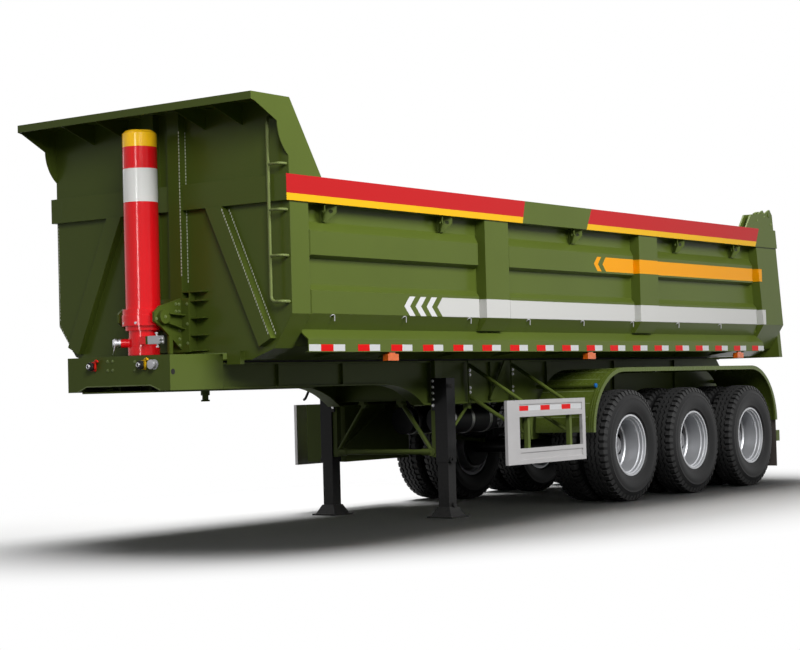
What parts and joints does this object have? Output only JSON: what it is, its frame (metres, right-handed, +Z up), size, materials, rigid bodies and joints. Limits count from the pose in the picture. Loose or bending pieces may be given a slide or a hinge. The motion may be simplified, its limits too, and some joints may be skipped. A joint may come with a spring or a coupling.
{
  "type": "tipping semi-trailer",
  "caption": "Rear-tipping dump semi-trailer with a ribbed steel body, cab guard, front telescopic cylinder, twin-wheel axles, landing legs and a top-hung tailgate.",
  "frame": {"origin": "middle of the bounding box at ground level", "axes": "+X points to the coupling end, +Y to the left side, +Z up"},
  "size_m": [9.4, 2.53, 3.372],
  "materials": {
    "tyre": "matt rubber",
    "rim_silver": "silver paint",
    "hub_steel": "machined and cast steel",
    "frame_green": "satin dark green paint",
    "running_gear_black": "satin black paint",
    "coupling_metal": "cast",
    "black_rubber": "matt",
    "mudguard_green": "satin dark green paint",
    "guard_aluminium": "mill finish",
    "lamp_red": "clear red",
    "lamp_amber": "clear amber",
    "body_green": "satin olive green paint",
    "rail_red": "red and yellow paint",
    "cylinder_red": "gloss red paint",
    "stage_chrome": "hard chrome"
  },
  "bodies": {
    "chassis": {"main_beams": "frame_green", "rest_strips": "black_rubber", "cross_members": "frame_green", "front_box": "frame_green", "coupler_plate": "frame_green", "air_couplings": "coupling_metal", "landing_leg_tubes": "running_gear_black", "landing_leg_feet": "running_gear_black", "landing_leg_braces": "frame_green", "side_guards": "guard_aluminium", "side_guard_stays": "frame_green", "mudguards": "mudguard_green", "mudguard_stays": "mudguard_green", "mud_flaps": "black_rubber", "air_tanks": "running_gear_black", "tool_box": "frame_green", "rear_bumper": "frame_green", "tail_lamps": "lamp_red", "axles": "running_gear_black", "leaf_springs": "running_gear_black", "spring_hangers": "frame_green", "rockers": "running_gear_black", "radius_rods": "frame_green"},
    "tipping_body": {"body_floor": "body_green", "side_posts": "body_green", "rear_posts": "body_green", "side_walls": "body_green", "top_rails": "rail_red", "headboard": "body_green", "cab_guard": "body_green", "ladder": "body_green", "cover_brackets": "frame_green", "side_aprons": "body_green", "marker_lamps": "lamp_amber", "cylinder_bracket": "body_green"},
    "tailgate": {"tailgate": "body_green"},
    "cylinder_base": {"cylinder_base": "cylinder_red"},
    "cylinder_stage_1": {"cylinder_stage_1": "stage_chrome"},
    "cylinder_stage_2": {"cylinder_stage_2": "stage_chrome"},
    "cylinder_stage_3": {"cylinder_stage_3": "stage_chrome"},
    "cylinder_stage_4": {"cylinder_stage_4": "stage_chrome"},
    "cylinder_cover": {"cylinder_cover": "cylinder_red"},
    "wheels_left_front": {"tyres_left_front": "tyre", "rims_left_front": "rim_silver", "hub_left_front": "hub_steel"},
    "wheels_left_middle": {"tyres_left_middle": "tyre", "rims_left_middle": "rim_silver", "hub_left_middle": "hub_steel"},
    "wheels_left_rear": {"tyres_left_rear": "tyre", "rims_left_rear": "rim_silver", "hub_left_rear": "hub_steel"},
    "wheels_right_front": {"tyres_right_front": "tyre", "rims_right_front": "rim_silver", "hub_right_front": "hub_steel"},
    "wheels_right_middle": {"tyres_right_middle": "tyre", "rims_right_middle": "rim_silver", "hub_right_middle": "hub_steel"},
    "wheels_right_rear": {"tyres_right_rear": "tyre", "rims_right_rear": "rim_silver", "hub_right_rear": "hub_steel"}
  },
  "joints": [
    {"name": "body_tip", "type": "hinge", "parent": "chassis", "child": "tipping_body", "pos_m": [-4.3, 0, 1.25], "axis": [0, -1, 0], "range_deg": [0, 45]},
    {"name": "tailgate_swing", "type": "hinge", "parent": "tipping_body", "child": "tailgate", "pos_m": [-4.265, 0, 2.956], "axis": [0, 1, 0], "range_deg": [0, 75]},
    {"name": "cylinder_swing", "type": "hinge", "parent": "chassis", "child": "cylinder_base", "pos_m": [4.34, 0, 1.33], "axis": [0, -1, 0], "range_deg": [0, 24.35]},
    {"name": "stage_slide_1", "type": "slide", "parent": "cylinder_base", "child": "cylinder_stage_1", "axis": [0, 0, 1], "range_m": [0, 1.3174]},
    {"name": "stage_slide_2", "type": "slide", "parent": "cylinder_stage_1", "child": "cylinder_stage_2", "axis": [0, 0, 1], "range_m": [0, 1.3174]},
    {"name": "stage_slide_3", "type": "slide", "parent": "cylinder_stage_2", "child": "cylinder_stage_3", "axis": [0, 0, 1], "range_m": [0, 1.3174]},
    {"name": "stage_slide_4", "type": "slide", "parent": "cylinder_stage_3", "child": "cylinder_stage_4", "axis": [0, 0, 1], "range_m": [0, 1.3174]},
    {"name": "cover_slide", "type": "slide", "parent": "cylinder_stage_4", "child": "cylinder_cover", "axis": [0, 0, 1], "range_m": [0, 1.3174]},
    {"name": "wheel_spin_left_front", "type": "hinge", "parent": "chassis", "child": "wheels_left_front", "pos_m": [-1.09, 0.93, 0.5425], "axis": [0, 1, 0], "continuous": true},
    {"name": "wheel_spin_left_middle", "type": "hinge", "parent": "chassis", "child": "wheels_left_middle", "pos_m": [-2.4, 0.93, 0.5425], "axis": [0, 1, 0], "continuous": true},
    {"name": "wheel_spin_left_rear", "type": "hinge", "parent": "chassis", "child": "wheels_left_rear", "pos_m": [-3.71, 0.93, 0.5425], "axis": [0, 1, 0], "continuous": true},
    {"name": "wheel_spin_right_front", "type": "hinge", "parent": "chassis", "child": "wheels_right_front", "pos_m": [-1.09, -0.93, 0.5425], "axis": [0, 1, 0], "continuous": true},
    {"name": "wheel_spin_right_middle", "type": "hinge", "parent": "chassis", "child": "wheels_right_middle", "pos_m": [-2.4, -0.93, 0.5425], "axis": [0, 1, 0], "continuous": true},
    {"name": "wheel_spin_right_rear", "type": "hinge", "parent": "chassis", "child": "wheels_right_rear", "pos_m": [-3.71, -0.93, 0.5425], "axis": [0, 1, 0], "continuous": true}
  ],
  "couplings": [
    {"joint": "cylinder_swing", "follows": "body_tip", "ratio": 0.54067},
    {"joint": "stage_slide_1", "follows": "body_tip", "m_per_rad": 1.6766},
    {"joint": "stage_slide_2", "follows": "body_tip", "m_per_rad": 1.6766},
    {"joint": "stage_slide_3", "follows": "body_tip", "m_per_rad": 1.6766},
    {"joint": "stage_slide_4", "follows": "body_tip", "m_per_rad": 1.6766},
    {"joint": "cover_slide", "follows": "body_tip", "m_per_rad": 1.6766}
  ]
}
